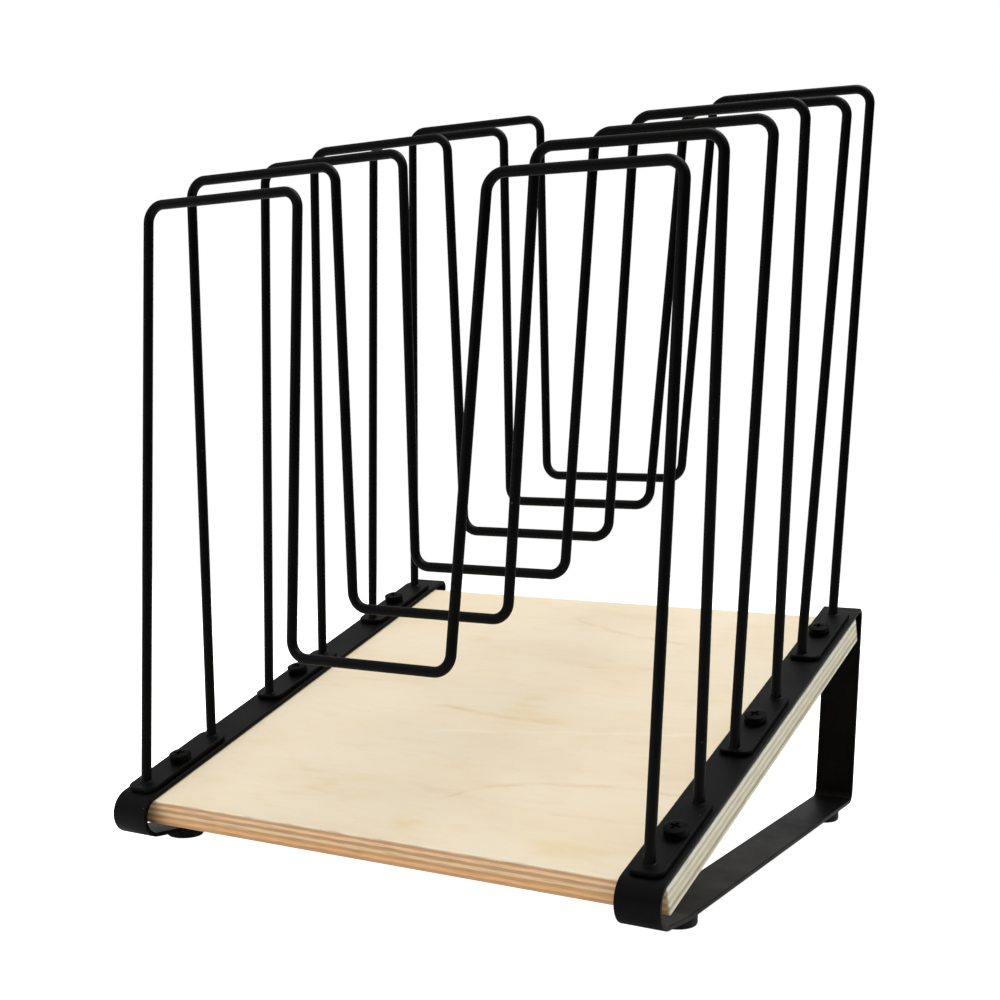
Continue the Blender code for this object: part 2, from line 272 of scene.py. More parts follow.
def make_backdrop():
    world = bpy.data.worlds.new("studio_backdrop")
    world.use_nodes = True
    nodes = Nodes(world.node_tree)
    direction = nodes.add("TexCoord", output="Generated")
    height = nodes.part(direction, "Z")
    above = nodes.larger(height, 0.0)
    sockets = {0: direction, 1: BEHIND}
    facing = nodes.add("VectorMath", {"operation": "DOT_PRODUCT"}, sockets, output="Value")
    wall = nodes.rise(facing, *WALL_SPREAD) * (1 - nodes.rise(height, *WALL_TOP))
    glow = ROOM_DIM + above ** OVERHEAD_FALL * ROOM_OVERHEAD + wall * ROOM_BEHIND
    seen_directly = nodes.add("LightPath", output="Is Camera Ray")
    background = world.node_tree.nodes["Background"]
    nodes.plug(background.inputs["Color"], nodes.mix(seen_directly, glow, PAPER_WHITE))
    bpy.context.scene.world = world


make_backdrop()
print("Backdrop nodes:", len(bpy.context.scene.world.node_tree.nodes))

# %% Lights
LIGHT_TARGET = Vector((0.0, 0.0, 0.12))
SOFT_BOXES = {
    "key_soft_box": {"place": (0.40, 0.88, 2.56), "size": 1.6, "power": 54},
    "front_soft_box": {"place": (-1.0, -1.2, 0.8), "size": 1.8, "power": 9},
}


def make_soft_box(name, place, size, power):
    light = bpy.data.lights.new(name, "AREA")
    light.shape = "SQUARE"
    light.size = size
    light.energy = power
    box = bpy.data.objects.new(name, light)
    box.location = place
    box.rotation_euler = (LIGHT_TARGET - Vector(place)).to_track_quat("-Z", "Y").to_euler()
    bpy.context.scene.collection.objects.link(box)


for name, settings in SOFT_BOXES.items():
    make_soft_box(name, **settings)
bpy.context.scene.view_settings.view_transform = "Standard"

# %% [markdown]
# ## The board's own axes
# The board climbs towards the back, the plates and screws sit square to it, and the wires' feet
# climb with it. Working in the board's axes keeps their numbers simple. A box-shaped solid that is
# tilted still has its middle in the middle of its bounding box, so the CAD model itself gives the
# place.

# %% Board axes
BOARD_WIDTH = 0.269
BOARD_LENGTH = 0.250
BOARD_THICKNESS = 0.012
BOARD_SLOPE = math.radians(17.4)
SIDES = ("left", "right")
ROWS = ("front", "middle", "rear")


def middle_of(node):
    low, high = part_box(node)
    return (low + high) / 2


def sloped_at(place):
    """Axes that lie along the board, with their origin at a place."""
    return Matrix.Translation(place) @ Matrix.Rotation(BOARD_SLOPE, 4, "X")


board_axes = sloped_at(middle_of("base_board"))
board_normal = board_axes.to_3x3() @ Vector((0, 0, 1))
uphill = board_axes.to_3x3() @ Vector((0, 1, 0))
print("Board's middle in mm:", [round(part * 1000, 2) for part in board_axes.translation])

# %% [markdown]
# ## From a mesh to a finished piece
# Every piece ends the same way: its faces are turned outwards, it is shaded smooth, and it takes
# the place of its CAD solid. Weighted normals keep wide flat faces flat next to narrow rounded
# edges. The printed number is how far its box departs from the CAD solid's. It is largest for the
# wires, whose welds the solids leave out.

# %% Finish a piece
SHARP_ANGLE = math.radians(50)


def finish_piece(name, bm, node, material):
    bmesh.ops.recalc_face_normals(bm, faces=bm.faces)
    mesh = bpy.data.meshes.new(name)
    bm.to_mesh(mesh)
    bm.free()
    mesh.shade_smooth()
    mesh.set_sharp_from_angle(angle=SHARP_ANGLE)
    mesh.materials.append(material)
    piece = bpy.data.objects.new(name, mesh)
    bpy.context.scene.collection.objects.link(piece)
    weighted = piece.modifiers.new("flat faces stay flat", "WEIGHTED_NORMAL")
    weighted.keep_sharp = True
    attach(piece, "root")
    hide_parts(node)
    corners = [Vector(corner) for corner in piece.bound_box]
    low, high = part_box(node)
    gaps = [abs(min(c[axis] for c in corners) - low[axis]) for axis in range(3)]
    gaps += [abs(max(c[axis] for c in corners) - high[axis]) for axis in range(3)]
    print(f"{name}: {len(mesh.polygons)} faces, box within {max(gaps) * 1000:.2f} mm of its solid")


print("Pieces to finish:", len(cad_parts))

# %% [markdown]
# ## Screw holes
# Each screw goes through a foot plate and a strap into the board, so all three have its hole. On
# the real object a drill makes them. Here a round bar takes the drill's place and is cut away with
# a Boolean, which works on any mesh. Shaping the holes by hand would be slower and no finer.


# %% Cut one mesh out of another
def helper_object(name, bm):
    mesh = bpy.data.meshes.new(name)
    bmesh.ops.recalc_face_normals(bm, faces=bm.faces)
    bm.to_mesh(mesh)
    bm.free()
    helper = bpy.data.objects.new(name, mesh)
    bpy.context.scene.collection.objects.link(helper)
    return helper


def cut_away(bm, tool):
    """What is left of a mesh after a tool is cut away from it. Both meshes are used up."""
    blank = helper_object("blank", bm)
    cutter = helper_object("cutter", tool)
    cut = blank.modifiers.new("cut away", "BOOLEAN")
    cut.object = cutter
    cut.use_self = True
    bpy.context.view_layer.update()
    left_over = bmesh.new()
    left_over.from_object(blank, bpy.context.evaluated_depsgraph_get())
    for helper in (blank, cutter):
        bpy.data.objects.remove(helper)
    return left_over


# %% Drill the screw holes
SEAT_GAP = 0.0003
PLATE_THICKNESS = 0.002
SHANK_RADIUS = 0.0024
SCREW_LENGTH = 0.012
SCREW_SHIFTS = {"front": 0.0018, "middle": 0.0004, "rear": -0.0004}
TURN_STEPS = 48


def screw_seat(side, row):
    """The middle of the underside of a screw's head."""
    hole = middle_of(f"{side}_plate_{row}") + Vector((SCREW_SHIFTS[row], 0, 0))
    return hole + board_normal * (PLATE_THICKNESS / 2 + SEAT_GAP)


def drill(bm, sides=SIDES, rows=ROWS):
    """Drills the screws' holes, from above the plates down to just below the screws' points."""
    radius = SHANK_RADIUS + SEAT_GAP
    top = PLATE_THICKNESS
    bottom = -SCREW_LENGTH - SEAT_GAP
    to_middle = Matrix.Translation((0, 0, (top + bottom) / 2))
    bars = bmesh.new()
    for side in sides:
        for row in rows:
            bmesh.ops.create_cone(
                bars,
                cap_ends=True,
                segments=TURN_STEPS,
                radius1=radius,
                radius2=radius,
                depth=top - bottom,
                matrix=sloped_at(screw_seat(side, row)) @ to_middle,
            )
    return cut_away(bm, bars)


print("Screw holes:", len(SIDES) * len(ROWS))

# %% [markdown]
# ## Warm patches in the veneer
# The board's faces are rotary-cut birch, and such a veneer has a few warm patches where the knife
# met a knot or stained wood. They could be painted by hand. Soft ovals are simpler here: each has
# a place on the board and a reach, in metres, and noise will break up its outline later.

# %% Warm patches
WARM_PATCHES = (
    ((0.012, 0.001), (0.018, 0.014)),
    ((0.028, -0.013), (0.014, 0.004)),
    ((-0.042, -0.089), (0.040, 0.015)),
    ((0.081, -0.112), (0.018, 0.007)),
    ((0.011, -0.110), (0.011, 0.009)),
    ((-0.054, 0.067), (0.012, 0.010)),
)
PATCH_CORE = 0.1
PATCH_RIM = 1.2


def warm_patch(nodes, place, middle, reach):
    """A soft oval of 1 that fades to 0 a little beyond its reach."""
    sockets = {"Vector": place, "Location": (*middle, 0), "Scale": (*reach, 1)}
    oval = nodes.add("Mapping", {"vector_type": "TEXTURE"}, sockets)
    flat = nodes.add("VectorMath", {"operation": "MULTIPLY"}, {0: oval, 1: (1, 1, 0)})
    return 1 - nodes.rise(nodes.length(flat), PATCH_CORE, PATCH_RIM)


print("Warm patches:", len(WARM_PATCHES))

# %% [markdown]
# ## Growth lines in the veneer
# A few year rings run over the whole sheet as long thin lines that swing round at one end, because
# the knife peels the log in a spiral. A curve object could draw them, but then they would lie on
# the wood. An exponential curve in the shader keeps them in it.

# %% Growth lines
GROWTH_LINES = (
    {"level": -0.060, "dip": 0.036, "end": 0.009, "reach": 0.026, "tip": 0.130},
    {"level": -0.0135, "dip": -0.004, "end": -0.042, "reach": 0.030, "tip": 0.038},
    {"level": 0.070, "dip": -0.032, "end": -0.016, "reach": 0.060, "tip": 0.070},
)
PALE_LINE = {"level": 0.020, "dip": 0.056, "end": -0.028, "reach": 0.220, "tip": 0.110}
LINE_HALF_WIDTH = 0.0026
LINE_FADE = 0.012


def growth_line(nodes, place, wobble, level, dip, end, reach, tip):
    """1 on a thin line that bends away at its left end and levels out towards its tip."""
    across = nodes.part(place, "X")
    along = nodes.part(place, "Y")
    bend = nodes.add("Math", {"operation": "EXPONENT"}, {0: (end - across) / reach})
    aside = abs(along + wobble + bend * dip - level)
    begun = nodes.rise(across, end, end + LINE_FADE)
    ended = nodes.rise(across, tip - LINE_FADE, tip)
    return (1 - nodes.rise(aside, 0.0, LINE_HALF_WIDTH)) * (begun * (1 - ended))


print("Growth lines:", len(GROWTH_LINES), "dark and 1 pale")

# %% [markdown]
# ## Veneer
# Over the patches and lines lies the veneer's own grain: fine fibres and short flecks from side to
# side, soft clouds and faint wavy rings. A picture texture would show it too, but it would blur
# close up. Noise that is stretched along the fibres stays sharp. Each layer tints the one below.

# %% Veneer tones and noise
VENEER_PALE = screen_colour(231, 217, 191)
VENEER_WARM = screen_colour(225, 204, 169)
VENEER_LINE = screen_colour(212, 184, 143)
VENEER_STAIN = screen_colour(222, 197, 150)
VENEER_BRIGHT = screen_colour(239, 229, 208)
CLOUDS = {"scale": (12, 26, 26), "detail": 4}
CLOUD_STEP = (0.38, 0.75)
MOTTLE = {"scale": (55, 190, 190), "detail": 3}
MOTTLE_STEP = (0.5, 0.8)
FIBRE_STEP = (0.5, 0.8)
FLECK_STEP = (0.64, 0.78)
STAIN_STEP = (0.70, 1.25)
greens = [round(tone[1], 2) for tone in (VENEER_BRIGHT, VENEER_LINE)]
print("Green light in the brightest and the darkest tone:", greens)

# %% Rings of the veneer
FIGURE = {"scale": (3.2, 8, 8), "detail": 2}
RING_DENSITY = 170
RING_WAVER = 26
RING_ROUGHNESS = 0.8
RING_STEP = (0.80, 1.0)
RING_CLOUD_STEP = (0.40, 0.62)


def veneer_rings(nodes, place, clouds, mottle):
    """1 on faint wavy rings, which show only in the warm clouds."""
    figure = nodes.noise(place, **FIGURE)
    phase = nodes.part(place, "Y") * RING_DENSITY + figure * RING_WAVER + mottle * RING_ROUGHNESS
    rings = nodes.rise(nodes.add("Math", {"operation": "SINE"}, {0: phase}), *RING_STEP)
    return rings * nodes.rise(clouds, *RING_CLOUD_STEP)


print("Rings across the board:", round(BOARD_LENGTH * RING_DENSITY / math.tau))

# %% Veneer colour
BREAKS = {"scale": (70, 160, 160), "detail": 3}
BREAK_STEP = (0.32, 0.62)
WOBBLE = {"scale": 48, "detail": 4}
WOBBLE_SIZE = 0.008
CLOUD_TINT = 0.55
PALE_LINE_TINT = 0.45
RING_TINT = 0.14
MOTTLE_TINT = 0.20
LINE_TINT = 0.12
UNBROKEN_LINE_TINT = 0.33
FIBRE_TINT = 0.12
FLECK_TINT = 0.22
STAIN_TINT = 0.75


def veneer_colour(nodes, place, fibres, flecks):
    clouds = nodes.noise(place, **CLOUDS)
    mottle = nodes.noise(place, **MOTTLE)
    stain = sum(warm_patch(nodes, place, *patch) for patch in WARM_PATCHES)
    stain = stain * nodes.rise(mottle + clouds, *STAIN_STEP)
    wobble = (nodes.noise(place, **WOBBLE) - 0.5) * WOBBLE_SIZE
    unbroken = nodes.rise(nodes.noise(place, **BREAKS), *BREAK_STEP)
    lines = sum(growth_line(nodes, place, wobble, **line) for line in GROWTH_LINES)
    lines = lines * (LINE_TINT + unbroken * UNBROKEN_LINE_TINT)
    pale_line = growth_line(nodes, place, wobble, **PALE_LINE) * unbroken
    rings = veneer_rings(nodes, place, clouds, mottle)
    ripple = rings * RING_TINT + nodes.rise(mottle, *MOTTLE_STEP) * MOTTLE_TINT

    colour = nodes.mix(nodes.rise(clouds, *CLOUD_STEP) * CLOUD_TINT, VENEER_PALE, VENEER_WARM)
    colour = nodes.mix(pale_line * PALE_LINE_TINT, colour, VENEER_BRIGHT)
    colour = nodes.mix(ripple, colour, VENEER_LINE)
    colour = nodes.mix(lines, colour, VENEER_LINE)
    colour = nodes.mix(nodes.rise(fibres, *FIBRE_STEP) * FIBRE_TINT, colour, VENEER_LINE)
    colour = nodes.mix(nodes.rise(flecks, *FLECK_STEP) * FLECK_TINT, colour, VENEER_LINE)
    return nodes.mix(stain * STAIN_TINT, colour, VENEER_STAIN)


print("A growth line wobbles in mm by at most", round(WOBBLE_SIZE / 2 * 1000, 1))

# %% [markdown]
# ## Plies
# Plywood is glued from thin veneers with the grain crosswise in turn, so its edges show stripes:
# pale where the fibres run along the edge, brown where they are cut across. Thin boxes could be
# stacked to show them. Stripes worked out from the depth in the board are lighter to build, and
# they meet at the corners. The front edge is warm, and is painted brighter than its wood, which
# stands in for light on that edge. The sides are painted pale and grey, which stands in for the
# light that falls on them. The rear lies between.

# %% Ply tones
PLY_STARTS = (0.0, 0.045, 0.167, 0.292, 0.427, 0.563, 0.70, 0.84, 0.97)
PLY_BORDER = 0.022
# Painted light: these tones are brighter than the wood, to make up for light on the front edge, which
# faces a little downwards. The palest top band is the face veneer, and it also stands in for the
# highlight along the rounded top edge.
FRONT_PLIES_WITH_PAINTED_LIGHT = [
    screen_colour(248, 230, 200),
    screen_colour(209, 165, 122),
    screen_colour(248, 208, 164),
    screen_colour(207, 164, 120),
    screen_colour(244, 210, 166),
    screen_colour(217, 168, 117),
    screen_colour(246, 194, 140),
    screen_colour(214, 167, 118),
    screen_colour(214, 180, 142),
]
# Painted light: these tones are paler and greyer than the wood, standing in for the light that falls on
# the sides of the board.
SIDE_PLIES_WITH_PAINTED_LIGHT = [
    screen_colour(240, 236, 220),
    screen_colour(236, 232, 212),
    screen_colour(204, 198, 176),
    screen_colour(235, 227, 201),
    screen_colour(208, 201, 175),
    screen_colour(229, 222, 193),
    screen_colour(176, 167, 143),
    screen_colour(228, 223, 201),
    screen_colour(236, 232, 214),
]
PORE_BROWN = screen_colour(150, 112, 78)
print("Plies:", len(PLY_STARTS))

# %% Plies on the board's edges
WANDER = {"scale": (30, 30, 4), "detail": 3}
PLY_WANDER = 0.05
FRAY = {"scale": (110, 110, 1100), "detail": 3}
PLY_FRAY = 0.09
STREAKS = {"scale": (90, 90, 1500), "detail": 4}
STREAK_STEP = (0.46, 0.74)
STREAK_TINT = 0.36
PORES = {"scale": (2400, 2400, 1200), "detail": 2}
PORE_STEP = (0.56, 0.78)
PORE_TINT = 0.24


def edge_colour(nodes, place, side_share):
    wander = nodes.noise(place, **WANDER) - 0.5
    fray = nodes.noise(place, **FRAY) - 0.5
    depth = 0.5 - nodes.part(place, "Z") / BOARD_THICKNESS + wander * PLY_WANDER + fray * PLY_FRAY
    front = nodes.bands(depth, PLY_STARTS, FRONT_PLIES_WITH_PAINTED_LIGHT, PLY_BORDER)
    side = nodes.bands(depth, PLY_STARTS, SIDE_PLIES_WITH_PAINTED_LIGHT, PLY_BORDER)
    streaks = nodes.rise(nodes.noise(place, **STREAKS), *STREAK_STEP)
    pores = nodes.rise(nodes.noise(place, **PORES), *PORE_STEP)
    # Painted light: this share picks the side tones, painted pale, over the front tones, painted bright.
    edge = nodes.mix(side_share, front, side)
    edge = nodes.mix(streaks * STREAK_TINT, edge, PORE_BROWN)
    return nodes.mix(pores * PORE_TINT, edge, PORE_BROWN)


stray = (PLY_WANDER + PLY_FRAY) / 2 * BOARD_THICKNESS
print("A ply's border strays in mm by at most", round(stray * 1000, 2))

# %% [markdown]
# ## Birch plywood
# The board has veneer on its faces and plies on its edges, under a thin matt varnish. It could have
# two materials, but one keeps the sanded corners whole: it reads the place in the board's own axes,
# and shows plies within a thin skin at the edges. The fibres also raise the surface a little.

# %% Plywood finish
EDGE_SKIN = 0.0007
# The rear edge takes half of the side tones, with their painted light.
REAR_SIDE_SHARE = 0.5
FIBRES = {"scale": (45, 600, 600), "detail": 3}
FLECKS = {"scale": (170, 1500, 1500), "detail": 1}
FLECK_HEIGHT = 0.5
WOOD_RELIEF = {"distance": 0.00006, "strength": 0.5}
WOOD_ROUGHNESS = 0.5
FIBRE_ROUGHNESS = 0.2
WOOD_SHEEN = 0.3


def birch_plywood():
    material, nodes, shader, place = start_finish("birch_plywood")
    sockets = {"Vector": place, "Location": board_axes.translation, "Rotation": (BOARD_SLOPE, 0, 0)}
    place = nodes.add("Mapping", {"vector_type": "TEXTURE"}, sockets)
    across = nodes.part(place, "X")
    along = nodes.part(place, "Y")
    at_side = abs(across) > BOARD_WIDTH / 2 - EDGE_SKIN
    at_end = abs(along) > BOARD_LENGTH / 2 - EDGE_SKIN
    at_rear = along > BOARD_LENGTH / 2 - EDGE_SKIN

    fibres = nodes.noise(place, **FIBRES)
    flecks = nodes.noise(place, **FLECKS)
    veneer = veneer_colour(nodes, place, fibres, flecks)
    edge = edge_colour(nodes, place, nodes.larger(at_side, at_rear * REAR_SIDE_SHARE))
    colour = nodes.mix(nodes.larger(at_end, at_side), veneer, edge)
    nodes.plug(shader.inputs["Base Color"], colour)
    nodes.plug(shader.inputs["Roughness"], WOOD_ROUGHNESS + fibres * FIBRE_ROUGHNESS)
    shader.inputs["Specular IOR Level"].default_value = WOOD_SHEEN
    nodes.plug(shader.inputs["Normal"], nodes.bump(fibres + flecks * FLECK_HEIGHT, **WOOD_RELIEF))
    return material


plywood = birch_plywood()
print("Plywood nodes:", len(plywood.node_tree.nodes))

# %% [markdown]
# ## The board
# One rectangle of plywood with its sharp edges sanded off. A cube scaled to size would do, but its
# edges would be knife sharp and catch no light, so all twelve are rounded with a bevel.

# %% Board
BOARD_ARRIS = 0.0006
ARRIS_STEPS = 3


def add_box(bm, size):
    made = bmesh.ops.create_cube(bm, size=1)
    bmesh.ops.scale(bm, vec=size, verts=made["verts"])
    return made["verts"]


def round_edges(bm, edges, radius, segments):
    bmesh.ops.bevel(
        bm, geom=edges, offset=radius, affect="EDGES", segments=segments, profile=0.5, material=-1
    )


def make_board():
    bm = bmesh.new()
    add_box(bm, (BOARD_WIDTH, BOARD_LENGTH, BOARD_THICKNESS))
    round_edges(bm, bm.edges[:], BOARD_ARRIS, ARRIS_STEPS)
    bm.transform(board_axes)
    finish_piece("plywood_board", drill(bm), "base_board", plywood)


make_board()

# %% [markdown]
# ## Black powder coat
# The straps, plates and wires are coated with baked black powder. Close up that is not flat: the
# skin has a fine orange peel, its sheen changes slowly where hands have been, and a few specks of
# dust are baked in. A plain black would look cut out of paper. The colour itself is close to black,
# so most of what the eye sees is the sheen, and noise goes mainly into roughness and relief.

# %% Powder coat finish
COAT_BLACK = (0.0010, 0.0010, 0.0011, 1.0)
COAT_RUBBED = (0.0030, 0.0030, 0.0030, 1.0)
DUST_GREY = (0.06, 0.06, 0.055, 1.0)
PEEL = {"scale": 800, "detail": 2}
POWDER = {"scale": 3600, "detail": 1}
POWDER_HEIGHT = 0.5
COAT_RELIEF = {"distance": 0.00006, "strength": 0.8}
HANDLING = {"scale": 45, "detail": 4}
HANDLING_STEP = (0.35, 0.75)
HANDLING_TINT = 0.35
DUST_SCALE = 150
DUST_RARITY = 0.72
DUST_RIM = (0.03, 0.06)
COAT_ROUGHNESS = 0.40
HANDLING_ROUGHNESS = 0.10
POWDER_ROUGHNESS = 0.06
COAT_SHEEN = 0.07


def powder_coat():
    material, nodes, shader, place = start_finish("black_powder_coat")
    peel = nodes.noise(place, **PEEL)
    powder = nodes.noise(place, **POWDER)
    handling = nodes.rise(nodes.noise(place, **HANDLING), *HANDLING_STEP)
    cell = {"Vector": place, "Scale": DUST_SCALE}
    from_speck = nodes.add("TexVoronoi", None, cell, output="Distance")
    chosen = nodes.add("TexVoronoi", None, cell, output="Color") > DUST_RARITY
    dust = (1 - nodes.rise(from_speck, *DUST_RIM)) * chosen
    colour = nodes.mix(handling * HANDLING_TINT, COAT_BLACK, COAT_RUBBED)
    nodes.plug(shader.inputs["Base Color"], nodes.mix(dust, colour, DUST_GREY))
    roughness = COAT_ROUGHNESS + handling * HANDLING_ROUGHNESS + powder * POWDER_ROUGHNESS
    nodes.plug(shader.inputs["Roughness"], roughness)
    shader.inputs["Specular IOR Level"].default_value = COAT_SHEEN
    nodes.plug(shader.inputs["Normal"], nodes.bump(peel + powder * POWDER_HEIGHT, **COAT_RELIEF))
    return material


coat = powder_coat()
print("Coat nodes:", len(coat.node_tree.nodes))

# %% [markdown]
# ## Bending bars and wire
# A bent bar has the same cross-section all the way, so it is drawn as a workshop bends it: the
# section is pushed along each straight run, and swung round the middle of each bend. A curve with
# a bevel would be quicker, but its bends would not be true arcs.

# %% Draw a section along a path
BEND_STEP = math.radians(6)
SAME_PLACE = 1e-6


def edges_of(geom):
    return [part for part in geom if isinstance(part, bmesh.types.BMEdge)]


def extrude_ring(bm, ring, move):
    drawn = bmesh.ops.extrude_edge_only(bm, edges=ring)["geom"]
    verts = [part for part in drawn if isinstance(part, bmesh.types.BMVert)]
    bmesh.ops.translate(bm, vec=move, verts=verts)
    return [edge for edge in edges_of(drawn) if edge.is_boundary]


def draw_bent(bm, ring, path, radii):
    """Draws a ring of edges along a path with sharp corners, each rounded by a radius of its own."""
    place = path[0]
    heading = (path[1] - place).normalized()
    for corner, after, radius in zip(path[1:], path[2:], radii):
        next_heading = (after - corner).normalized()
        turn = heading.angle(next_heading)
        axis = heading.cross(next_heading).normalized()
        setback = radius * math.tan(turn / 2)
        bend_start = corner - heading * setback
        ring = extrude_ring(bm, ring, bend_start - place)
        spun = bmesh.ops.spin(
            bm,
            geom=ring,
            cent=bend_start + axis.cross(heading) * radius,
            axis=axis,
            angle=turn,
            steps=math.ceil(turn / BEND_STEP),
        )
        ring = edges_of(spun["geom_last"])
        place = corner + next_heading * setback
        heading = next_heading
    extrude_ring(bm, ring, path[-1] - place)
    bmesh.ops.remove_doubles(bm, verts=bm.verts, dist=SAME_PLACE)


print("Bends are cut every", round(math.degrees(BEND_STEP)), "degrees")

# %% [markdown]
# ## The straps
# Each side is one loop of flat bar: along the top of the board, round its front edge, back along
# the desk and up behind the board. The corners of the loop's inner face follow from the board, so
# they are worked out as crossings of straight lines, and not measured one by one.

# %% Corners of the straps
FRONT_BEND_RADIUS = 0.008
FRONT_BEND_SETBACK = 0.0014
RUN_DROP_ANGLE = math.radians(5)
RUN_DROP_LENGTH = 0.020
LEG_LEAN = math.radians(7)
LEG_TO_BOARD = 0.0045


def strap_corners():
    """The sharp corners of a strap's inner face, in the plane of the board's middle."""
    front_edge = board_axes @ Vector((0, -BOARD_LENGTH / 2, BOARD_THICKNESS / 2))
    rear_edge = board_axes @ Vector((0, BOARD_LENGTH / 2, -BOARD_THICKNESS / 2))
    on_board = front_edge + board_normal * SEAT_GAP
    bend_centre = on_board + uphill * FRONT_BEND_SETBACK - board_normal * FRONT_BEND_RADIUS
    drop = Vector((0, math.cos(RUN_DROP_ANGLE), -math.sin(RUN_DROP_ANGLE)))
    below = Vector((0, drop.z, -drop.y))
    knee = bend_centre + below * FRONT_BEND_RADIUS + drop * RUN_DROP_LENGTH
    behind_board = rear_edge + Vector((0, LEG_TO_BOARD, 0))
    leg = Vector((0, math.sin(LEG_LEAN), math.cos(LEG_LEAN)))
    backwards = Vector((0, 1, 0))
    toe = intersect_line_line(on_board, on_board + uphill, knee, knee + drop)[0]
    heel = intersect_line_line(knee, knee + backwards, behind_board, behind_board + leg)[0]
    top = intersect_line_line(on_board, on_board + uphill, behind_board, behind_board + leg)[0]
    return toe, knee, heel, top


print("Strap corners, Y and Z in mm:", [tuple(round(p * 1000, 1) for p in c.yz) for c in strap_corners()])

# %% [markdown]
# ## Bending the straps
# The bar's section starts in the middle of the bottom run, where a join would show least, and goes
# once round the loop. Its four corners are slightly rounded first, as rolled bar is, so that the
# edges catch a thin line of light. Bevelling the finished loop would round the bends unevenly.

# %% Straps
STRAP_WIDTH = 0.019
STRAP_THICKNESS = 0.002
STRAP_EDGE_ROUND = 0.0004
STRAP_EDGE_STEPS = 4
RUN_DROP_RADIUS = 0.060
TOP_BEND_RADIUS = 0.002
HEEL_BEND_RADIUS = 0.004


def make_strap(side):
    node = f"{side}_strap"
    offset = Vector((middle_of(node).x - board_axes.translation.x, 0, 0))
    toe, knee, heel, top = [corner + offset for corner in strap_corners()]
    start = (knee + heel) / 2

    bm = bmesh.new()
    section = bmesh.ops.create_grid(bm, x_segments=1, y_segments=1, size=0.5)["verts"]
    bmesh.ops.scale(bm, vec=(STRAP_WIDTH, STRAP_THICKNESS, 1), verts=section)
    bmesh.ops.bevel(
        bm,
        geom=section,
        offset=STRAP_EDGE_ROUND,
        affect="VERTICES",
        segments=STRAP_EDGE_STEPS,
        profile=0.5,
        material=-1,
    )
    bmesh.ops.delete(bm, geom=bm.faces[:], context="FACES_ONLY")
    stand_up = Matrix.Rotation(math.radians(90), 4, "X")
    bm.transform(Matrix.Translation(start - Vector((0, 0, STRAP_THICKNESS / 2))) @ stand_up)
    radii = [HEEL_BEND_RADIUS, TOP_BEND_RADIUS, FRONT_BEND_RADIUS, RUN_DROP_RADIUS]
    draw_bent(bm, bm.edges[:], [start, heel, top, toe, knee, start], radii)
    finish_piece(f"{side}_bent_strap", drill(bm, [side]), node, coat)


for side in SIDES:
    make_strap(side)

# %% [markdown]
# ## The foot plates
# Two wires are welded to each small plate before it is screwed down. A plate is sheared from flat
# bar and its corners are rounded on a belt, so the upright edges get a wide bevel, and the rims of
# both faces a narrow one. Both bevels start from a plain box.

# %% Foot plates
PLATE_LENGTH = 0.056
PLATE_WIDTH = 0.015
PLATE_CORNER_RADIUS = 0.004
PLATE_CORNER_STEPS = 8
PLATE_EDGE_ROUND = 0.0004
PLATE_EDGE_STEPS = 3


def make_plate(side, row):
    node = f"{side}_plate_{row}"
    bm = bmesh.new()
    add_box(bm, (PLATE_WIDTH, PLATE_LENGTH, PLATE_THICKNESS))
    upright = [edge for edge in bm.edges if edge.verts[0].co.z * edge.verts[1].co.z < 0]
    round_edges(bm, upright, PLATE_CORNER_RADIUS, PLATE_CORNER_STEPS)
    rims = [edge for edge in bm.edges if edge.verts[0].co.z * edge.verts[1].co.z > 0]
    round_edges(bm, rims, PLATE_EDGE_ROUND, PLATE_EDGE_STEPS)
    bm.transform(sloped_at(middle_of(node)))
    finish_piece(f"{side}_foot_plate_{row}", drill(bm, [side], [row]), node, coat)


for side in SIDES:
    for row in ROWS:
        make_plate(side, row)

# %% [markdown]
# ## The paths of the wires
# A wire is one length of thick rod, bent six times into an M with a deep square valley. They are
# bent by hand, so no two are quite alike: each has its own lean and its own small errors, which
# are listed from the front wire to the rear one. Copies of one wire would look too tidy.

# %% Wire paths
WIRE_DIAMETER = 0.0046
WIRE_HEIGHT = 0.266
WIRE_SPLAY = 0.0095
VALLEY_TOP_WIDTH = 0.102
VALLEY_FLOOR_WIDTH = 0.080
ARCH_RISE = 0.0012
WIRE_SHIFTS = (-0.0065, -0.0020, 0.0020, 0.0020, 0.0015, -0.0005)
VALLEY_SQUEEZES = (0.0060, 0.0, -0.0005, -0.0015, -0.0015, -0.0005)
VALLEY_FLOOR_HEIGHTS = (0.0625, 0.0665, 0.0685, 0.0685, 0.0680, 0.0660)
LEFT_FOOT_SHIFTS = (-0.0010, 0.0, 0.0, -0.0010, 0.0010, -0.0010)
RIGHT_FOOT_SHIFTS = (-0.0005, 0.0015, -0.0005, 0.0015, -0.0015, -0.0005)

strap_centre = (BOARD_WIDTH - STRAP_WIDTH) / 2
shoulder = strap_centre + WIRE_SPLAY


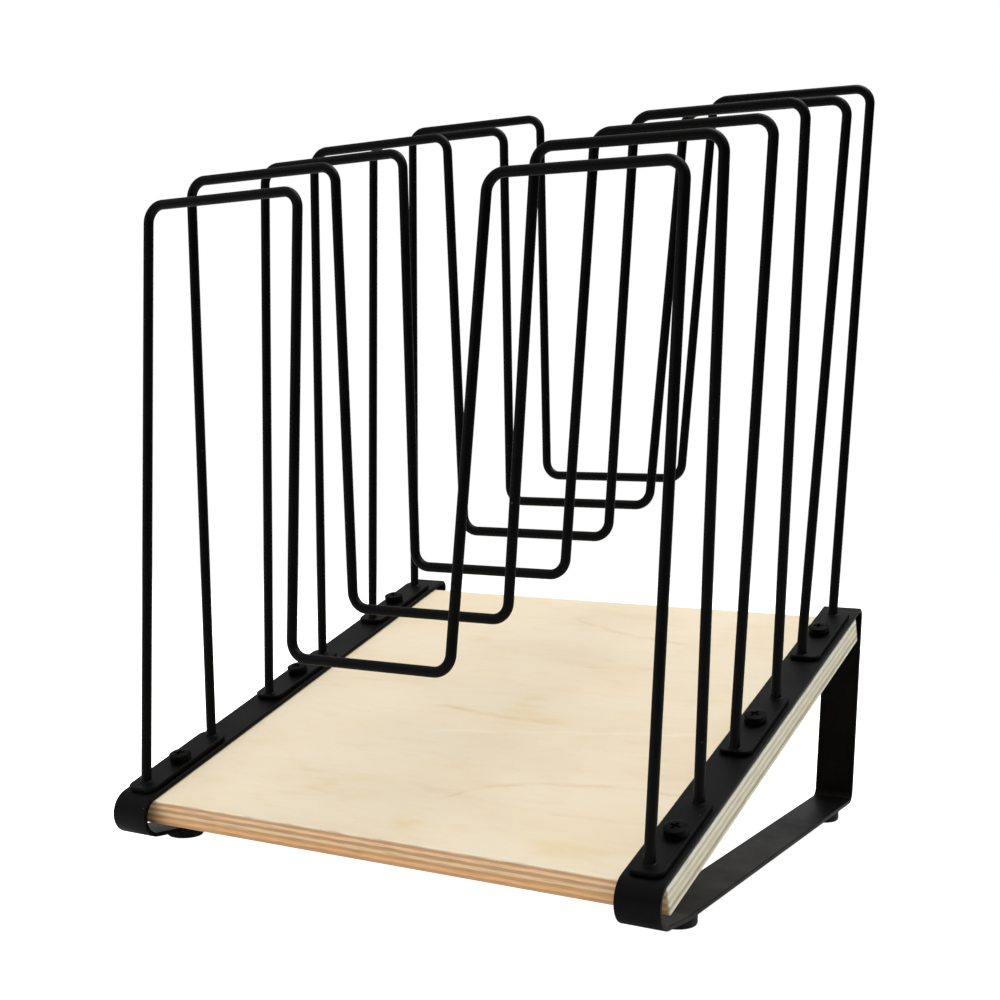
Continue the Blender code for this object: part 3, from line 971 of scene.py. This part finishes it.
def wire_path(index):
    """The wire's two ends, with spare length, and its six sharp corners between them."""
    shift = WIRE_SHIFTS[index]
    half_top = (VALLEY_TOP_WIDTH - VALLEY_SQUEEZES[index]) / 2
    half_floor = VALLEY_FLOOR_WIDTH / 2
    floor_height = VALLEY_FLOOR_HEIGHTS[index]
    shoulder_height = WIRE_HEIGHT - ARCH_RISE
    corners = [
        Vector((shift - shoulder, 0, shoulder_height)),
        Vector((shift - half_top, 0, WIRE_HEIGHT)),
        Vector((shift - half_floor, 0, floor_height)),
        Vector((shift + half_floor, 0, floor_height)),
        Vector((shift + half_top, 0, WIRE_HEIGHT)),
        Vector((shift + shoulder, 0, shoulder_height)),
    ]
    left_foot = Vector((LEFT_FOOT_SHIFTS[index] - strap_centre, 0, 0))
    right_foot = Vector((RIGHT_FOOT_SHIFTS[index] + strap_centre, 0, 0))
    left_end = left_foot + (left_foot - corners[0]).normalized() * WIRE_DIAMETER
    right_end = right_foot + (right_foot - corners[-1]).normalized() * WIRE_DIAMETER
    return [left_end, *corners, right_end]


path = wire_path(0)
print("Rod for the front wire, in mm:", round(sum((b - a).length for a, b in zip(path, path[1:])) * 1000))

# %% [markdown]
# ## Welds
# Both ends of a wire are welded to their plates, which leaves a small round fillet. A sphere at
# the foot would look like a blob. Instead the cut end of the tube is drawn down to the steel in
# steps, a little wider each time, and noise makes the rim slightly lumpy.

# %% Welds
WELD_HEIGHT = 0.0010
WELD_STEPS = 6
WELD_LUMPS = 0.10
LUMP_SCALE = 900


def flare_weld(bm, rim):
    """Widens a cut end of the wire down to its plate, as a small round weld does."""
    middle = sum((vert.co for edge in rim for vert in edge.verts), Vector()) / (2 * len(rim))
    spread = 1.0
    depth = 0.0
    for step in range(1, WELD_STEPS + 1):
        angle = math.pi / 2 * step / WELD_STEPS
        next_spread = 1 + 2 * WELD_HEIGHT / WIRE_DIAMETER * (1 - math.cos(angle))
        next_depth = WELD_HEIGHT * math.sin(angle)
        rim = extrude_ring(bm, rim, board_normal * (depth - next_depth))
        ring_verts = list({vert for edge in rim for vert in edge.verts})
        ring_middle = middle - board_normal * next_depth
        growth = next_spread / spread
        bmesh.ops.scale(
            bm, vec=(growth, growth, growth), space=Matrix.Translation(-ring_middle), verts=ring_verts
        )
        for vert in ring_verts:
            lump = noise.noise(vert.co * LUMP_SCALE) * WELD_LUMPS * step / WELD_STEPS
            vert.co = ring_middle + (vert.co - ring_middle) * (1 + lump)
        spread = next_spread
        depth = next_depth
    bmesh.ops.holes_fill(bm, edges=rim, sides=0)


print("Welds:", 2 * len(WIRE_SHIFTS))

# %% [markdown]
# ## The wires
# Now each tube is drawn along its path with spare length, twisted and leaned, cut off just above
# its plates, and welded down. Cutting after leaning gives ends that lie flat on the sloping
# plates, which a tube of the exact length would not have.

# %% Wires
WIRE_BEND_RADIUS = 0.008
WIRE_SIDES = 24
WIRE_INSETS = (0.0070, 0.0030, 0.0035, 0.0035, 0.0030, 0.0045)
WIRE_LEANS = (3.9, 0.1, 1.0, -0.2, 3.2, 2.8)
WIRE_TWISTS = (-0.0005, 0.0015, -0.0010, -0.0010, 0.0030, 0.0040)


def make_wire(index):
    node = f"wire_{index + 1}"
    row = ROWS[index // 2]
    plates = (middle_of(f"left_plate_{row}") + middle_of(f"right_plate_{row}")) / 2
    reach = PLATE_LENGTH / 2 - WIRE_INSETS[index]
    on_plate = plates + board_normal * PLATE_THICKNESS / 2
    foot = on_plate + uphill * (reach if index % 2 else -reach) + board_normal * SEAT_GAP
    path = wire_path(index)
    heading = (path[1] - path[0]).to_track_quat("Z", "Y").to_matrix().to_4x4()

    bm = bmesh.new()
    bmesh.ops.create_circle(
        bm, segments=WIRE_SIDES, radius=WIRE_DIAMETER / 2, matrix=Matrix.Translation(path[0]) @ heading
    )
    draw_bent(bm, bm.edges[:], path, [WIRE_BEND_RADIUS] * (len(path) - 2))
    for vert in bm.verts:
        vert.co.y += WIRE_TWISTS[index] * vert.co.x / shoulder * vert.co.z / WIRE_HEIGHT
    lean = Matrix.Rotation(-math.radians(WIRE_LEANS[index]), 4, "X")
    bm.transform(Matrix.Translation(foot) @ lean)
    bmesh.ops.bisect_plane(
        bm,
        geom=bm.verts[:] + bm.edges[:] + bm.faces[:],
        plane_co=on_plate + board_normal * WELD_HEIGHT,
        plane_no=board_normal,
        clear_inner=True,
    )
    cut = [edge for edge in bm.edges if edge.is_boundary]
    for half in (-1, 1):
        flare_weld(bm, [edge for edge in cut if (edge.verts[0].co.x - foot.x) * half > 0])
    finish_piece(f"bent_wire_{index + 1}", bm, node, coat)


for index in range(len(WIRE_INSETS)):
    make_wire(index)

# %% [markdown]
# ## Black screw finish
# The screws are blackened, not painted, so they are a little duller than the coat round them, and
# a driver has rubbed them here and there. The powder coat could be used again, but its orange peel
# would be too coarse for a head of 10 mm. Finer noise and faint scuffs suit it better.

# %% Screw finish
OXIDE_BLACK = (0.0008, 0.0008, 0.0009, 1.0)
OXIDE_WORN = (0.004, 0.004, 0.004, 1.0)
SCUFFS = {"scale": 700, "detail": 4}
SCUFF_STEP = (0.52, 0.72)
SCUFF_TINT = 0.35
FINE = {"scale": 5000, "detail": 2}
OXIDE_RELIEF = {"distance": 0.00001, "strength": 0.5}
OXIDE_ROUGHNESS = 0.38
SCUFF_ROUGHNESS = 0.12
FINE_ROUGHNESS = 0.08
OXIDE_SHEEN = 0.035


def black_oxide():
    material, nodes, shader, place = start_finish("black_oxide")
    scuffs = nodes.rise(nodes.noise(place, **SCUFFS), *SCUFF_STEP)
    fine = nodes.noise(place, **FINE)
    nodes.plug(shader.inputs["Base Color"], nodes.mix(scuffs * SCUFF_TINT, OXIDE_BLACK, OXIDE_WORN))
    roughness = OXIDE_ROUGHNESS + scuffs * SCUFF_ROUGHNESS + fine * FINE_ROUGHNESS
    nodes.plug(shader.inputs["Roughness"], roughness)
    shader.inputs["Specular IOR Level"].default_value = OXIDE_SHEEN
    nodes.plug(shader.inputs["Normal"], nodes.bump(fine, **OXIDE_RELIEF))
    return material


oxide = black_oxide()
print("Screw finish nodes:", len(oxide.node_tree.nodes))

# %% [markdown]
# ## The screws
# One black pan-head screw holds each plate. Heads like this are pressed from wire, so the dome and
# its rim are one turned shape, spun from a half outline. The cross recess is pressed in: two
# tapered bars are cut away with a Boolean, which is simpler than shaping the cross by hand.


# %% Turned shapes
def arc(centre, radii, start, end, steps):
    """Points on an arc or a flattened arc, from one angle to another, in degrees."""
    angles = [math.radians(start + (end - start) * step / steps) for step in range(steps + 1)]
    return [(centre[0] + radii[0] * math.cos(a), centre[1] + radii[1] * math.sin(a)) for a in angles]


def spin_profile(points):
    """A turned solid. Its half outline goes from the axis round to the axis, as (radius, height)."""
    bm = bmesh.new()
    verts = [bm.verts.new((radius, 0, height)) for radius, height in points]
    edges = [bm.edges.new(pair) for pair in zip(verts, verts[1:])]
    bmesh.ops.spin(
        bm,
        geom=verts + edges,
        cent=(0, 0, 0),
        axis=(0, 0, 1),
        angle=math.tau,
        steps=TURN_STEPS,
        use_merge=True,
    )
    bmesh.ops.remove_doubles(bm, verts=bm.verts, dist=SAME_PLACE)
    bmesh.ops.recalc_face_normals(bm, faces=bm.faces)
    return bm


print("Turned shapes have", TURN_STEPS, "sides")

# %% Press a screw
HEAD_RADIUS = 0.005
HEAD_HEIGHT = 0.0036
HEAD_RIM_HEIGHT = 0.0030
CROWN_STEPS = 10
HEAD_FOOT_ROUND = 0.0002
HEAD_FOOT_STEPS = 3
SCREW_POINT = 0.004
RECESS_SPAN = 0.0068
RECESS_SLOT = 0.0014
RECESS_DEPTH = 0.0021
RECESS_TAPER = 0.45
SLOT_TAPER = 0.8


def pressed_screw():
    dome = (HEAD_RADIUS, HEAD_HEIGHT - HEAD_RIM_HEIGHT)
    crown = arc((0, HEAD_RIM_HEIGHT), dome, 90, 0, CROWN_STEPS)
    foot_middle = (HEAD_RADIUS - HEAD_FOOT_ROUND, HEAD_FOOT_ROUND)
    foot = arc(foot_middle, (HEAD_FOOT_ROUND, HEAD_FOOT_ROUND), 0, -90, HEAD_FOOT_STEPS)
    shank = [(SHANK_RADIUS, 0), (SHANK_RADIUS, SCREW_POINT - SCREW_LENGTH), (0, -SCREW_LENGTH)]
    cross = bmesh.new()
    for turn in (0, 90):
        arm = add_box(cross, (RECESS_SPAN, RECESS_SLOT, 2 * RECESS_DEPTH))
        lower = [vert for vert in arm if vert.co.z < 0]
        bmesh.ops.scale(cross, vec=(RECESS_TAPER, SLOT_TAPER, 1), verts=lower)
        bmesh.ops.rotate(cross, matrix=Matrix.Rotation(math.radians(turn), 3, "Z"), verts=arm)
    bmesh.ops.translate(cross, vec=(0, 0, HEAD_HEIGHT), verts=cross.verts)
    return cut_away(spin_profile(crown + foot + shank), cross)


pan_screw = pressed_screw()
print("Faces of a screw:", len(pan_screw.faces))

# %% Screws
SCREW_TURNS = {
    "left_front": 20, "left_middle": 70, "left_rear": 35,
    "right_front": 74, "right_middle": 66, "right_rear": 12,
}


def make_screw(screw, side, row):
    turn = Matrix.Rotation(math.radians(SCREW_TURNS[f"{side}_{row}"]), 4, "Z")
    bm = screw.copy()
    bm.transform(sloped_at(screw_seat(side, row)) @ turn)
    finish_piece(f"{side}_pan_screw_{row}", bm, f"{side}_screw_{row}", oxide)


for side in SIDES:
    for row in ROWS:
        make_screw(pan_screw, side, row)
pan_screw.free()

# %% [markdown]
# ## The rubber feet
# Four round rubber pads are stuck under the straps, so that the steel doesn't scratch the desk.
# They are moulded, with a soft lower edge, so they are spun from a half outline as the screws are.
# Rubber is dull and picks up dust, which makes it a little grey and uneven.

# %% Rubber finish
RUBBER_BLACK = (0.006, 0.006, 0.006, 1.0)
RUBBER_DUSTY = (0.022, 0.021, 0.020, 1.0)
RUBBER_DUST = {"scale": 260, "detail": 5}
RUBBER_DUST_STEP = (0.45, 0.75)
RUBBER_DUST_TINT = 0.7
RUBBER_GRAIN = {"scale": 2600, "detail": 3}
RUBBER_RELIEF = {"distance": 0.00004, "strength": 0.6}
RUBBER_ROUGHNESS = 0.72
RUBBER_DUST_ROUGHNESS = 0.2
RUBBER_SHEEN = 0.3


def black_rubber():
    material, nodes, shader, place = start_finish("black_rubber")
    dust = nodes.rise(nodes.noise(place, **RUBBER_DUST), *RUBBER_DUST_STEP)
    grain = nodes.noise(place, **RUBBER_GRAIN)
    colour = nodes.mix(dust * RUBBER_DUST_TINT, RUBBER_BLACK, RUBBER_DUSTY)
    nodes.plug(shader.inputs["Base Color"], colour)
    nodes.plug(shader.inputs["Roughness"], RUBBER_ROUGHNESS + dust * RUBBER_DUST_ROUGHNESS)
    shader.inputs["Specular IOR Level"].default_value = RUBBER_SHEEN
    nodes.plug(shader.inputs["Normal"], nodes.bump(grain, **RUBBER_RELIEF))
    return material


rubber = black_rubber()
print("Rubber nodes:", len(rubber.node_tree.nodes))

# %% Rubber feet
FOOT_ROUND = 0.0012
FOOT_STEPS = 6
FOOT_TOP_ROUND = 0.0004
FOOT_TOP_STEPS = 4


def make_foot(side, row):
    node = f"{side}_foot_{row}"
    low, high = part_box(node)
    radius = (high.x - low.x) / 2
    height = high.z - low.z
    brim_middle = (radius - FOOT_TOP_ROUND, height - FOOT_TOP_ROUND)
    brim = arc(brim_middle, (FOOT_TOP_ROUND, FOOT_TOP_ROUND), 90, 0, FOOT_TOP_STEPS)
    sole = arc((radius - FOOT_ROUND, FOOT_ROUND), (FOOT_ROUND, FOOT_ROUND), 0, -90, FOOT_STEPS)
    bm = spin_profile([(0, height), *brim, *sole, (0, 0)])
    place = middle_of(node)
    bm.transform(Matrix.Translation((place.x, place.y, low.z)))
    finish_piece(f"{side}_rubber_foot_{row}", bm, node, rubber)


for side in SIDES:
    for row in ("front", "rear"):
        make_foot(side, row)
